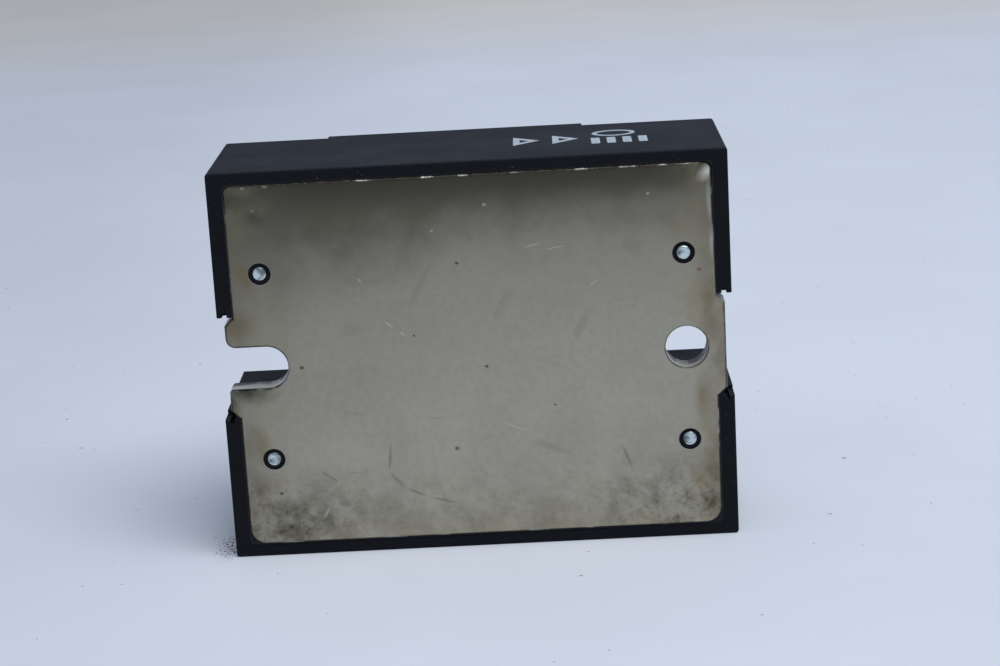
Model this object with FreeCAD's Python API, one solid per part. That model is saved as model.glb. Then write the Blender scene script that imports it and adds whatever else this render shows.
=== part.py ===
import FreeCAD, Part
import os

# Panel-mount solid state relay, standing on one long side as it does on a vertical heat sink.
# The outer face of the metal base plate lies in the plane y = 0 with the origin at its centre,
# +Y points from the plate to the terminals, +X to the load end and +Z up. Millimetres.

# ---- driving dimensions ----------------------------------------------------------------------
LENGTH = 58.0             # moulded housing, end to end
HEIGHT = 45.0             # moulded housing, long side to long side
RIM_Y = 0.15              # the rim stays this far behind the plate, so the plate seats first
END_TOP_Y = 20.0          # top of the two terminal ends
PANEL_TOP_Y = 21.3        # top of the raised middle panel
PANEL_X = (-16.7, 13.4)   # the raised panel: the load end keeps more room than the control end
CORNER_R = 0.4            # upright outer corners
EDGE_R = 0.25             # rim edge
TOP_CHAMFER = 0.3

PLATE_HALF_X = 27.2
PLATE_HALF_Z = 21.05
PLATE_T = 3.0
PLATE_LOW_CORNER_R = 1.9   # the two corners towards -Z are rounder than the two towards +Z
PLATE_TOP_CORNER_R = 0.9
PLATE_ROLL_R = 0.4        # rounding that punching leaves along the outer face
EAR_X = 28.2              # the plate's ears reach this far through the end notches
EAR_HALF_Z = 5.9
EAR_CHAMFER = 0.9
PLATE_GAP = 0.2           # between plate and rim, filled with sealant
OPENING_R = 0.6           # inner corners of the rim
SEALANT_Y = 0.3           # the sealant's face, just behind the rim

MOUNT_X = 23.75           # mounting hole and slot, 47.5 mm apart
MOUNT_R = 2.4
MOUNT_EDGE_R = 0.2
SLOT_TOP_MOUTH_R = 1.1
SLOT_LOW_MOUTH_R = 0.5

PIN_X = 23.75             # drive pins that hold the plate on the housing's tubular posts
PIN_Z = 10.87
PIN_R = 0.85
PIN_TOP_Y = 6.0
PIN_TIP_Y = 0.12
PIN_DOME_H = 0.3
POST_R = 1.25
POST_FACE_Y = 0.2
PLATE_PIN_HOLE_R = 1.28

NOTCH_HALF_Z = 5.6        # open notch over each mounting point
EAR_POCKET_HALF_Z = 6.0   # its wider mouth in the rim, round the plate's ear
NOTCH_INNER_X = 18.5
NOTCH_INNER_R = 1.5
NOTCH_WALL = 1.4
RELIEF_R = 0.33           # round relief where a wall ends beside an ear
RELIEF_X = 28.15
RELIEF_Z = 6.2

LEDGE_X = 26.4            # inside of the ledge that the plate rests on
LEDGE_Z = 20.2
SIDE_WALL = 1.6
PANEL_WALL = 1.5
ROOF_Y = 19.7             # underside of the panel
FLOOR_Y = 11.5            # pocket floor
FLOOR_T = 1.5
BLOCK_Y = 4.6             # lowest face of the solid blocks that hold the nuts
POCKET_Z = (7.5, 20.9)
RESIN_TOP_Y = 9.0

TERMINAL_Z = 14.2         # both ends: the terminals stand 28.4 mm apart
RUN = 0.05                # running clearance of the terminal hardware

# Each end's terminal hardware: screw place, thread and the sizes that follow from it.
LOAD = {
    "x": 21.4, "inner_x": PANEL_X[1], "block_x": (17.2, 26.9), "sill_y": 12.7,
    "strip_t": 1.2, "strip_half_z": 5.0, "clamp": 8.8, "clamp_t": 1.2,
    "thread_r": 2.0, "pitch": 0.7, "screw_len": 8.0, "head_r": 4.0, "head_h": 2.6,
    "nut": 7.0, "nut_t": 3.2, "lift": 3.2,
}
CONTROL = {
    "x": -22.0, "inner_x": PANEL_X[0], "block_x": (-26.9, -18.3), "sill_y": 12.5,
    "strip_t": 1.0, "strip_half_z": 4.4, "clamp": 7.8, "clamp_t": 1.0,
    "thread_r": 1.75, "pitch": 0.6, "screw_len": 7.0, "head_r": 3.5, "head_h": 2.3,
    "nut": 6.0, "nut_t": 2.8, "lift": 3.0,
}
NUT_PLAY = 0.1            # the nuts sit in square recesses this much larger each way
WELL_PLAY = 0.35          # radial room round a screw's tip
WELL_DEPTH = 0.8          # room under a screw's tip
SLOT_W = 1.0              # driver slot and cross recess of the screw heads
SLOT_DEPTH = 1.1
CROSS_LEN = 4.4
CROSS_DEPTH = 1.7
HEAD_ROUND = 0.35         # rounding of the head's edge, as a share of its height
THREAD_DEPTH = 0.55       # thread depth, as a share of the pitch
THREAD_START = 0.6        # plain point below the first thread
CLAMP_CORNER_R = 0.5
LIP_T = 0.9               # turned-up sides of the clamps
LIP_OVERLAP = 0.3
LIP_FOOT = 0.4
LIP_RISE = 0.8
GRIP_W = 0.35             # half width and depth of the grip grooves under the clamps
GRIP_PLACE = 0.72         # their place, as a share of the clamp's half width
LEG_T = 1.0
LEG_WALL_GAP = 0.5        # from the pocket's inner wall to the leg
LOAD_LEG_Z = (9.5, 14.0)
CONTROL_LEG_Z = (11.6, 14.0)
LEG_PLAY = 0.15

CERAMIC_X = (-11.5, 12.5)
CERAMIC_HALF_Z = 15.3
CERAMIC_T = 0.635
COPPER_T = 0.3
PAD_X = (-6.5, 11.5)
PAD_Z = (0.8, 14.5)
GATE_PAD_X = (-10.5, -7.5)
GATE_PAD_Z = (5.0, 9.0)
FOIL_EDGE = 0.8
CHIP = 7.0
CHIP_T = 0.4
CHIP_X = -1.0
CHIP_Z = 7.6
STRAP_W = 2.6
STRAP_T = 0.4
STRAP_RISE = 0.9
STRAP_SPLIT = 0.3         # half the gap between the two straps
STRAP_LAP = 2.0           # how far a strap lies past the chip's middle
STRAP_RISE_Z = 3.4        # where it leaves the chip, and how far it slopes up from there
STRAP_SLOPE = 1.0
STRAP_LEG_Z = 1.2         # where it comes down on the other pad, on the far side of the middle
STRAP_BEND = 0.6
STRAP_FOOT = 2.2
FOOT_LENGTH = 3.0         # how far a load terminal's foot lies on its pad

BOARD_X = (-14.4, 11.2)
BOARD_HALF_Z = 19.2
BOARD_Y = 12.0
BOARD_T = 1.6
LEAD_R = 0.4
LEAD_POINTS = ((-9.0, 7.0), (-9.0, -7.0), (9.8, 5.0), (9.8, -5.0))
LEAD_STAND = 0.6          # leads and pins stand this far out of the board
BOARD_PIN_INSET = 0.8     # control pins, from the board's end

OPTO_X = (-5.0, 3.6)      # six-pin optically coupled driver
OPTO_HALF_Z = 3.2
OPTO_STAND = 0.5
OPTO_T = 3.5
OPTO_PITCH = 2.54
OPTO_PIN_T = 0.25
OPTO_PIN_HALF_W = 0.25
OPTO_PIN_OUT = 0.6
OPTO_DOT = {"inset": 1.0, "z": -1.9, "r": 0.5, "depth": 0.2}
SMALL_R = 0.3             # edges of the small packages
RESISTOR_X = -5.2         # chip resistors in two rows
RESISTOR_Z = (8.6, 11.6)
RESISTOR_HALF = (1.6, 0.8)
RESISTOR_T = 0.6
DIODE = {"x": (-12.9, -8.5), "z": (15.4, 18.0), "t": 2.1, "r": 0.3}
TRANSISTOR = {"x": (-12.6, -9.7), "z": (-17.4, -16.1), "t": 1.1, "r": 0.2}
CAPACITOR = {"x": (-2.0, 11.0), "z": (12.4, 18.4), "t": 5.6, "r": 0.4}
SNUB_X = (-2.5, 6.5)      # axial resistor lying along X
SNUB_Z = -14.5
SNUB_R = 1.75
SNUB_END_R = 0.5
SNUB_LIFT = 2.1
WIRE_R = 0.35
WIRE_REACH = 1.6

LED_X = -11.2
LED_R = 1.5
LENS_R = 1.6
LENS_FLANGE_R = 2.0
LENS_FLANGE_T = 0.7
LENS_STAND = 0.2
LENS_EDGE_R = 0.35
LED_DOME_R = 1.2
LED_FLANGE = (0.35, 1.0)  # how much wider, and how tall
LED_GAP = 0.1
LABEL_X = (-15.2, 11.9)
LABEL_HALF_Z = 18.5
LABEL_T = 0.2
LABEL_RECESS = 0.25
LABEL_R = 1.5
LABEL_GAP = 0.15
LABEL_HOLE_R = 1.9

FULL_Z = HEIGHT / 2
FULL_X = LENGTH / 2
OUT = 5.0                 # how far a cutting tool runs past the part
SUBSTRATE_TOP_Y = PLATE_T + CERAMIC_T + 2 * COPPER_T
BOARD_TOP_Y = BOARD_Y + BOARD_T


# ---- small builders --------------------------------------------------------------------------
def span(low, high):
    return (low, high) if low < high else (high, low)


def box(x, y, z):
    corner = FreeCAD.Vector(x[0], y[0], z[0])
    return Part.makeBox(x[1] - x[0], y[1] - y[0], z[1] - z[0], corner)


def rod(x, z, radius, y_low, y_high):
    return Part.makeCylinder(radius, y_high - y_low, FreeCAD.Vector(x, y_low, z),
                             FreeCAD.Vector(0, 1, 0))


def upright_edges(shape, test):
    """Edges that run straight along Y and pass the test on their x and z."""
    found = []
    for edge in shape.Edges:
        size = edge.BoundBox
        if size.XLength < 1e-6 and size.ZLength < 1e-6 and test(size.XMin, size.ZMin):
            found.append(edge)
    return found


def edges_at_y(shape, y):
    """Edges that lie wholly in the plane at this y."""
    return [edge for edge in shape.Edges
            if abs(edge.BoundBox.YMin - y) < 1e-6 and abs(edge.BoundBox.YMax - y) < 1e-6]


def rounded_box(x, y, z, radius):
    block = box(x, y, z)
    return block.makeFillet(radius, upright_edges(block, lambda px, pz: True))


def prism_y(points, y_low, y_high):
    """Flat outline of (x, z) points drawn out along Y."""
    wire = Part.makePolygon([FreeCAD.Vector(x, y_low, z) for x, z in points + points[:1]])
    return Part.Face(wire).extrude(FreeCAD.Vector(0, y_high - y_low, 0))


def strip_z(points, z):
    """Side outline of (x, y) points drawn out along Z."""
    wire = Part.makePolygon([FreeCAD.Vector(x, y, z[0]) for x, y in points + points[:1]])
    return Part.Face(wire).extrude(FreeCAD.Vector(0, 0, z[1] - z[0]))


def strip_x(points, x):
    """End outline of (z, y) points drawn out along X."""
    wire = Part.makePolygon([FreeCAD.Vector(x[0], y, z) for z, y in points + points[:1]])
    return Part.Face(wire).extrude(FreeCAD.Vector(x[1] - x[0], 0, 0))


def turned(profile, x, z):
    """Solid of revolution about the line through (x, z) along Y, from (radius, y) points."""
    wire = Part.makePolygon([FreeCAD.Vector(r, y, 0) for r, y in profile + profile[:1]])
    solid = Part.Face(wire).revolve(FreeCAD.Vector(0, 0, 0), FreeCAD.Vector(0, 1, 0), 360)
    solid.translate(FreeCAD.Vector(x, 0, z))
    return solid


def mirrored(shape):
    return shape.mirror(FreeCAD.Vector(0, 0, 0), FreeCAD.Vector(0, 0, 1))


def both_sides(shape):
    return [shape, mirrored(shape)]


def joined(shapes):
    return shapes[0].multiFuse(shapes[1:]).removeSplitter()


def less(shape, tools):
    return shape.cut(tools)


def pin_places():
    return [(sx * PIN_X, sz * PIN_Z) for sx in (-1, 1) for sz in (-1, 1)]


# ---- heights inside a terminal ---------------------------------------------------------------
def strip_top(end):
    return FLOOR_Y + end["strip_t"]


def clamp_low(end):
    return strip_top(end) + RUN


def head_low(end):
    return clamp_low(end) + end["clamp_t"] + RUN


def screw_tip(end):
    return head_low(end) - end["screw_len"]


def outward(end):
    return 1 if end["x"] > 0 else -1


# ---- housing ---------------------------------------------------------------------------------
def outer_block():
    block = box((-FULL_X, FULL_X), (RIM_Y, END_TOP_Y), (-FULL_Z, FULL_Z))
    block = block.makeFillet(CORNER_R, upright_edges(block, lambda x, z: True))
    block = block.makeFillet(EDGE_R, edges_at_y(block, RIM_Y))
    panel = box(PANEL_X, (END_TOP_Y - 1.0, PANEL_TOP_Y), (-FULL_Z, FULL_Z))
    panel = panel.makeChamfer(TOP_CHAMFER, edges_at_y(panel, PANEL_TOP_Y))
    return joined([block, panel])


def with_eased_top(shell):
    """Chamfers the tops of the end walls and barriers, but not the foot of the raised panel."""
    edges = []
    for edge in edges_at_y(shell, END_TOP_Y):
        at_foot = any(abs(edge.BoundBox.XMin - x) < 1e-3 and abs(edge.BoundBox.XMax - x) < 1e-3
                      for x in PANEL_X)
        if not at_foot:
            edges.append(edge)
    return shell.makeChamfer(TOP_CHAMFER, edges)


def notch(sign, grow=0.0):
    """The open notch over a mounting point, or with grow the block of its wall."""
    inner = sign * (NOTCH_INNER_X - grow)
    outer = sign * (FULL_X + OUT)
    half = NOTCH_HALF_Z + grow
    block = box(span(inner, outer), (-OUT, PANEL_TOP_Y + OUT), (-half, half))
    ends = upright_edges(block, lambda x, z: abs(x - inner) < 1e-3)
    return block.makeFillet(NOTCH_INNER_R + grow, ends)


def ear_pocket(sign):
    """The notch's wider mouth, which ends level with the back of the plate's ear."""
    x = span(sign * PLATE_HALF_X, sign * (FULL_X + OUT))
    return box(x, (-OUT, PLATE_T), (-EAR_POCKET_HALF_Z, EAR_POCKET_HALF_Z))


def ear_reliefs():
    return [rod(sx * RELIEF_X, sz * RELIEF_Z, RELIEF_R, -OUT, PLATE_T)
            for sx in (-1, 1) for sz in (-1, 1)]


def plate_opening(y_low, y_high):
    x = PLATE_HALF_X + PLATE_GAP
    z = PLATE_HALF_Z + PLATE_GAP
    return rounded_box((-x, x), (y_low, y_high), (-z, z), OPENING_R)


def terminal_block(end):
    return box(end["block_x"], (BLOCK_Y, FLOOR_Y), (NOTCH_HALF_Z, LEDGE_Z))


def inner_cavity():
    """Everything hollow behind the plate: the low space under the pockets and the tall middle."""
    low = box((-LEDGE_X, LEDGE_X), (PLATE_T, FLOOR_Y - FLOOR_T), (-LEDGE_Z, LEDGE_Z))
    middle_z = FULL_Z - SIDE_WALL
    tall = box((PANEL_X[0] + PANEL_WALL, PANEL_X[1] - PANEL_WALL), (PLATE_T, ROOF_Y),
               (-middle_z, middle_z))
    blocks = [piece for end in (LOAD, CONTROL) for piece in both_sides(terminal_block(end))]
    posts = [rod(x, z, POST_R, PLATE_T - 1.0, BLOCK_Y) for x, z in pin_places()]
    walls = [notch(1, NOTCH_WALL), notch(-1, NOTCH_WALL)]
    return less(joined([low, tall]), blocks + posts + walls)


def pocket(end):
    """The open terminal pocket on the +Z side, with its sill at the end wall."""
    sign = outward(end)
    wall_x = sign * (FULL_X - SIDE_WALL)
    inside = box(span(end["inner_x"], wall_x), (FLOOR_Y, PANEL_TOP_Y + OUT), POCKET_Z)
    mouth = box(span(wall_x - sign, sign * (FULL_X + OUT)),
                (end["sill_y"], PANEL_TOP_Y + OUT), POCKET_Z)
    return joined([inside, mouth])


def nut_recess(end):
    half = end["nut"] / 2 + NUT_PLAY
    recess = box((end["x"] - half, end["x"] + half), (FLOOR_Y - end["nut_t"], FLOOR_Y),
                 (TERMINAL_Z - half, TERMINAL_Z + half))
    well = rod(end["x"], TERMINAL_Z, end["thread_r"] + WELL_PLAY, screw_tip(end) - WELL_DEPTH,
               FLOOR_Y)
    return joined([recess, well])


def leg_x(end):
    """Where a terminal strip turns down through the pocket floor."""
    near = end["inner_x"] + outward(end) * LEG_WALL_GAP
    return span(near, near + outward(end) * LEG_T)


def leg_slot(end, leg_z):
    x = leg_x(end)
    return box((x[0] - LEG_PLAY, x[1] + LEG_PLAY), (FLOOR_Y - FLOOR_T - 1.0, FLOOR_Y + 1.0),
               (leg_z[0] - LEG_PLAY, leg_z[1] + LEG_PLAY))


def label_recess():
    return rounded_box(LABEL_X, (PANEL_TOP_Y - LABEL_RECESS, PANEL_TOP_Y + OUT),
                       (-LABEL_HALF_Z, LABEL_HALF_Z), LABEL_R)


def housing():
    pockets = [side for end in (LOAD, CONTROL) for side in both_sides(pocket(end))]
    cuts = [notch(1), notch(-1), ear_pocket(1), ear_pocket(-1)] + pockets
    shell = with_eased_top(less(outer_block(), cuts))
    tools = [plate_opening(-OUT, PLATE_T), inner_cavity(), label_recess(),
             rod(LED_X, 0, LENS_R, ROOF_Y - 1.0, PANEL_TOP_Y + OUT)] + ear_reliefs()
    for end, leg_z in ((LOAD, LOAD_LEG_Z), (CONTROL, CONTROL_LEG_Z)):
        for tool in (nut_recess(end), leg_slot(end, leg_z)):
            tools += both_sides(tool)
    shell = less(shell, tools)
    posts = [rod(x, z, POST_R, POST_FACE_Y, BLOCK_Y + 1.0) for x, z in pin_places()]
    bores = [rod(x, z, PIN_R, -OUT, PIN_TOP_Y) for x, z in pin_places()]
    return less(joined([shell] + posts), bores)


# ---- base plate and what holds it ------------------------------------------------------------
def plate_outline():
    """Plate with its two ears, before any hole."""
    x = PLATE_HALF_X
    z = PLATE_HALF_Z
    body = box((-x, x), (0, PLATE_T), (-z, z))
    for side, radius in ((1, PLATE_TOP_CORNER_R), (-1, PLATE_LOW_CORNER_R)):
        body = body.makeFillet(radius, upright_edges(body, lambda px, pz: abs(pz - side * z) < 1e-3))
    near_z = EAR_HALF_Z - EAR_CHAMFER
    inner = x - 1.0
    near_x = EAR_X - EAR_CHAMFER
    ear = prism_y([(inner, EAR_HALF_Z), (near_x, EAR_HALF_Z), (EAR_X, near_z), (EAR_X, -near_z),
                   (near_x, -EAR_HALF_Z), (inner, -EAR_HALF_Z)], 0, PLATE_T)
    other_ear = ear.mirror(FreeCAD.Vector(0, 0, 0), FreeCAD.Vector(1, 0, 0))
    return joined([body, ear, other_ear])


def base_plate():
    slot = joined([rod(-MOUNT_X, 0, MOUNT_R, -OUT, PLATE_T + OUT),
                   box((-FULL_X - OUT, -MOUNT_X), (-OUT, PLATE_T + OUT), (-MOUNT_R, MOUNT_R))])
    plate = less(plate_outline(), [slot])
    for side, radius in ((1, SLOT_TOP_MOUTH_R), (-1, SLOT_LOW_MOUTH_R)):
        mouth = upright_edges(plate, lambda x, z: abs(x + EAR_X) < 1e-3 and abs(z - side * MOUNT_R) < 1e-3)
        plate = plate.makeFillet(radius, mouth)
    plate = plate.makeFillet(PLATE_ROLL_R, edges_at_y(plate, 0))
    holes = [rod(x, z, PLATE_PIN_HOLE_R, -OUT, PLATE_T + OUT) for x, z in pin_places()]
    plate = less(plate, holes + [rod(MOUNT_X, 0, MOUNT_R, -OUT, PLATE_T + OUT)])
    rim = [edge for edge in edges_at_y(plate, 0)
           if abs(edge.BoundBox.XLength - 2 * MOUNT_R) < 1e-3]
    return plate.makeFillet(MOUNT_EDGE_R, rim)


def base_pins():
    """Drive pins with a domed end, pressed into the tubular posts from the plate side."""
    pins = []
    for x, z in pin_places():
        pin = rod(x, z, PIN_R, PIN_TIP_Y, PIN_TOP_Y)
        pins.append(pin.makeFillet(PIN_DOME_H, edges_at_y(pin, PIN_TIP_Y)))
    return pins


def edge_sealant():
    """Black sealant in the gap between the plate and the rim, above and below the ears."""
    keep_out = [plate_outline(), ear_pocket(1), ear_pocket(-1)] + ear_reliefs()
    return less(plate_opening(SEALANT_Y, PLATE_T), keep_out).Solids


# ---- power side ------------------------------------------------------------------------------
def ceramic_substrate():
    return [box(CERAMIC_X, (PLATE_T + COPPER_T, PLATE_T + COPPER_T + CERAMIC_T),
                (-CERAMIC_HALF_Z, CERAMIC_HALF_Z))]


def substrate_copper():
    """One foil under the ceramic and, on top, two load pads and two gate pads."""
    foil = box((CERAMIC_X[0] + FOIL_EDGE, CERAMIC_X[1] - FOIL_EDGE), (PLATE_T, PLATE_T + COPPER_T),
               (-CERAMIC_HALF_Z + FOIL_EDGE, CERAMIC_HALF_Z - FOIL_EDGE))
    pad_y = (SUBSTRATE_TOP_Y - COPPER_T, SUBSTRATE_TOP_Y)
    pads = both_sides(box(PAD_X, pad_y, PAD_Z)) + both_sides(box(GATE_PAD_X, pad_y, GATE_PAD_Z))
    return [foil] + pads


def thyristor_chips():
    half = CHIP / 2
    return both_sides(box((CHIP_X - half, CHIP_X + half), (SUBSTRATE_TOP_Y, SUBSTRATE_TOP_Y + CHIP_T),
                          (CHIP_Z - half, CHIP_Z + half)))


def chip_straps():
    """Copper straps from the top of each chip across to the other load pad."""
    chip_top = SUBSTRATE_TOP_Y + CHIP_T
    crest = chip_top + STRAP_RISE
    pad = SUBSTRATE_TOP_Y
    t = STRAP_T
    chip_end = CHIP_Z + STRAP_LAP
    leg_z = -STRAP_LEG_Z
    foot_z = leg_z - STRAP_FOOT
    rise_z = STRAP_RISE_Z
    top_z = rise_z - STRAP_SLOPE
    bend_z = leg_z + STRAP_BEND
    outline = [(chip_end, chip_top), (chip_end, chip_top + t), (rise_z + t / 2, chip_top + t),
               (top_z + t / 2, crest + t), (bend_z, crest + t), (leg_z - t, crest),
               (leg_z - t, pad + t), (foot_z, pad + t), (foot_z, pad), (leg_z, pad),
               (leg_z, crest - t / 2), (bend_z, crest), (top_z, crest), (rise_z, chip_top)]
    left = CHIP_X - STRAP_SPLIT
    right = CHIP_X + STRAP_SPLIT
    first = strip_x(outline, (left - STRAP_W, left))
    second = mirrored(strip_x(outline, (right, right + STRAP_W)))
    return [first, second]


def board_leads():
    """Round leads from the gate pads and load pads up through the control board."""
    return [rod(x, z, LEAD_R, SUBSTRATE_TOP_Y, BOARD_TOP_Y + LEAD_STAND) for x, z in LEAD_POINTS]


# ---- terminals -------------------------------------------------------------------------------
def strip_with_hole(end):
    """The flat of a terminal strip on the pocket floor, with the clearance hole for its screw."""
    outer = outward(end) * (FULL_X - SIDE_WALL - LEG_PLAY)
    inner = end["inner_x"] + outward(end) * LEG_WALL_GAP
    flat = box(span(inner, outer), (FLOOR_Y, strip_top(end)),
               (TERMINAL_Z - end["strip_half_z"], TERMINAL_Z + end["strip_half_z"]))
    return less(flat, [rod(end["x"], TERMINAL_Z, end["thread_r"] + 2 * RUN, -OUT, FLOOR_Y + OUT)])


def load_terminal():
    """Copper strip whose leg turns down to the substrate and ends in a foot on the load pad."""
    x = leg_x(LOAD)
    foot_low = SUBSTRATE_TOP_Y
    foot_end = PAD_X[1] - FOOT_LENGTH
    leg = strip_z([(x[1], strip_top(LOAD)), (x[0], strip_top(LOAD)), (x[0], foot_low + LEG_T),
                   (foot_end, foot_low + LEG_T), (foot_end, foot_low), (x[1], foot_low)], LOAD_LEG_Z)
    return joined([strip_with_hole(LOAD), leg])


def control_terminal():
    """Thinner strip whose leg passes under the panel wall and turns up into the board."""
    x = leg_x(CONTROL)
    low = FLOOR_Y - FLOOR_T - 2 * LEG_T
    pin_x = BOARD_X[0] + BOARD_PIN_INSET
    leg = strip_z([(x[0], strip_top(CONTROL)), (x[1], strip_top(CONTROL)), (x[1], low + LEG_T),
                   (pin_x, low + LEG_T), (pin_x, BOARD_TOP_Y + LEAD_STAND),
                   (pin_x + LEG_T, BOARD_TOP_Y + LEAD_STAND), (pin_x + LEG_T, low), (x[0], low)],
                  CONTROL_LEG_Z)
    return joined([strip_with_hole(CONTROL), leg])


def terminal_nut(end):
    half = end["nut"] / 2
    nut = box((end["x"] - half, end["x"] + half), (FLOOR_Y - end["nut_t"], FLOOR_Y),
              (TERMINAL_Z - half, TERMINAL_Z + half))
    return less(nut, [rod(end["x"], TERMINAL_Z, end["thread_r"], -OUT, FLOOR_Y + OUT)])


def terminal_clamp(end):
    """Square pressure plate: two sides turned up, and grip grooves across its underside."""
    half = end["clamp"] / 2
    low = clamp_low(end)
    high = low + end["clamp_t"]
    x = (end["x"] - half, end["x"] + half)
    z = (TERMINAL_Z - half, TERMINAL_Z + half)
    plate = rounded_box(x, (low, high), z, CLAMP_CORNER_R)
    lip_y = (low + LIP_FOOT, high + LIP_RISE)
    lip_out = LIP_T - LIP_OVERLAP
    lips = [box(x, lip_y, (z[0] - lip_out, z[0] + LIP_OVERLAP)),
            box(x, lip_y, (z[1] - LIP_OVERLAP, z[1] + lip_out))]
    grooves = []
    for centre in (end["x"] - half * GRIP_PLACE, end["x"] + half * GRIP_PLACE):
        vee = [(centre - GRIP_W, low), (centre, low + GRIP_W), (centre + GRIP_W, low),
               (centre, low - GRIP_W)]
        grooves.append(strip_z(vee, (z[0] - OUT, z[1] + OUT)))
    hole = rod(end["x"], TERMINAL_Z, end["thread_r"] + RUN, -OUT, high + OUT)
    return less(joined([plate] + lips), grooves + [hole])


def terminal_screw(end):
    """Pan-head screw with a driver slot and cross recess; the thread is cut as close rings."""
    low = head_low(end)
    high = low + end["head_h"]
    crest = end["thread_r"] - RUN
    root = crest - THREAD_DEPTH * end["pitch"]
    tip = screw_tip(end)
    head = rod(end["x"], TERMINAL_Z, end["head_r"], low, high)
    head = head.makeFillet(HEAD_ROUND * end["head_h"], edges_at_y(head, high))
    thread = [(0, low), (crest, low)]
    turns = int((end["screw_len"] - end["clamp_t"] - 1.0) / end["pitch"])
    for turn in range(turns):
        y = tip + THREAD_START + (turns - turn) * end["pitch"]
        thread += [(crest, y), (root, y - 0.45 * end["pitch"]), (crest, y - 0.9 * end["pitch"])]
    thread += [(crest - 0.5, tip), (0, tip)]
    shank = turned(thread, end["x"], TERMINAL_Z)
    depth = high - SLOT_DEPTH
    slot = box((end["x"] - OUT, end["x"] + OUT), (depth, high + OUT),
               (TERMINAL_Z - SLOT_W / 2, TERMINAL_Z + SLOT_W / 2))
    cross = [box((end["x"] - a / 2, end["x"] + a / 2), (high - CROSS_DEPTH, high + OUT),
                 (TERMINAL_Z - b / 2, TERMINAL_Z + b / 2))
             for a, b in ((CROSS_LEN, SLOT_W), (SLOT_W, CROSS_LEN))]
    return less(joined([head, shank]), [slot] + cross)


# ---- control side ----------------------------------------------------------------------------
def control_board():
    board = box(BOARD_X, (BOARD_Y, BOARD_TOP_Y), (-BOARD_HALF_Z, BOARD_HALF_Z))
    lead_holes = [rod(x, z, LEAD_R, 0, BOARD_TOP_Y + OUT) for x, z in LEAD_POINTS]
    pin_x = BOARD_X[0] + BOARD_PIN_INSET
    slot = box((pin_x, pin_x + LEG_T), (0, BOARD_TOP_Y + OUT), CONTROL_LEG_Z)
    return less(board, lead_holes + both_sides(slot))


def on_board(part):
    """Small moulded package standing on the board, from its x, z, thickness and edge radius."""
    return [rounded_box(part["x"], (BOARD_TOP_Y, BOARD_TOP_Y + part["t"]), part["z"], part["r"])]


def opto_driver():
    y = (BOARD_TOP_Y + OPTO_STAND, BOARD_TOP_Y + OPTO_STAND + OPTO_T)
    body = rounded_box(OPTO_X, y, (-OPTO_HALF_Z, OPTO_HALF_Z), SMALL_R)
    dot = rod(OPTO_X[0] + OPTO_DOT["inset"], OPTO_DOT["z"], OPTO_DOT["r"], y[1] - OPTO_DOT["depth"],
              y[1] + OUT)
    return [less(body, [dot])]


def opto_pins():
    """Six bent legs of the driver, down on to the board."""
    middle = sum(OPTO_X) / 2
    low = BOARD_TOP_Y + OPTO_STAND + OPTO_T / 2
    high = low + OPTO_PIN_T
    near = OPTO_HALF_Z
    far = near + OPTO_PIN_OUT
    outline = [(near, low), (near, high), (far + OPTO_PIN_T, high), (far + OPTO_PIN_T, BOARD_TOP_Y),
               (far, BOARD_TOP_Y), (far, low)]
    pins = []
    for step in (-1, 0, 1):
        x = middle + step * OPTO_PITCH
        pins += both_sides(strip_x(outline, (x - OPTO_PIN_HALF_W, x + OPTO_PIN_HALF_W)))
    return pins


def chip_resistors():
    half_x, half_z = RESISTOR_HALF
    chips = []
    for z in RESISTOR_Z:
        chips += both_sides(box((RESISTOR_X - half_x, RESISTOR_X + half_x),
                                (BOARD_TOP_Y, BOARD_TOP_Y + RESISTOR_T), (z - half_z, z + half_z)))
    return chips


def snubber_resistor():
    """Axial resistor that lies along X, held off the board by its wires."""
    start = FreeCAD.Vector(SNUB_X[0], BOARD_TOP_Y + SNUB_LIFT, SNUB_Z)
    body = Part.makeCylinder(SNUB_R, SNUB_X[1] - SNUB_X[0], start, FreeCAD.Vector(1, 0, 0))
    return [body.makeFillet(SNUB_END_R, [e for e in body.Edges if e.BoundBox.XLength < 1e-6])]


def snubber_wires():
    axis_y = BOARD_TOP_Y + SNUB_LIFT
    wires = []
    for near, far in ((SNUB_X[0], SNUB_X[0] - WIRE_REACH), (SNUB_X[1], SNUB_X[1] + WIRE_REACH)):
        across = Part.makeCylinder(WIRE_R, WIRE_REACH, FreeCAD.Vector(min(near, far), axis_y, SNUB_Z),
                                   FreeCAD.Vector(1, 0, 0))
        bend = Part.makeSphere(WIRE_R, FreeCAD.Vector(far, axis_y, SNUB_Z))
        down = rod(far, SNUB_Z, WIRE_R, BOARD_TOP_Y, axis_y)
        wires.append(joined([across, bend, down]))
    return wires


def indicator_led():
    """Small lamp under the lens: a flanged body with a domed end."""
    top = ROOF_Y - LENS_FLANGE_T - LED_GAP
    body = rod(LED_X, 0, LED_R, BOARD_TOP_Y, top)
    body = body.makeFillet(LED_DOME_R, edges_at_y(body, top))
    flange = rod(LED_X, 0, LED_R + LED_FLANGE[0], BOARD_TOP_Y, BOARD_TOP_Y + LED_FLANGE[1])
    return [joined([body, flange])]


def indicator_lens():
    """Clear tinted window pushed up through the panel from inside, held by its flange."""
    top = PANEL_TOP_Y + LENS_STAND
    barrel = rod(LED_X, 0, LENS_R, ROOF_Y, top)
    barrel = barrel.makeFillet(LENS_EDGE_R, edges_at_y(barrel, top))
    return [joined([barrel, rod(LED_X, 0, LENS_FLANGE_R, ROOF_Y - LENS_FLANGE_T, ROOF_Y)])]


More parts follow.
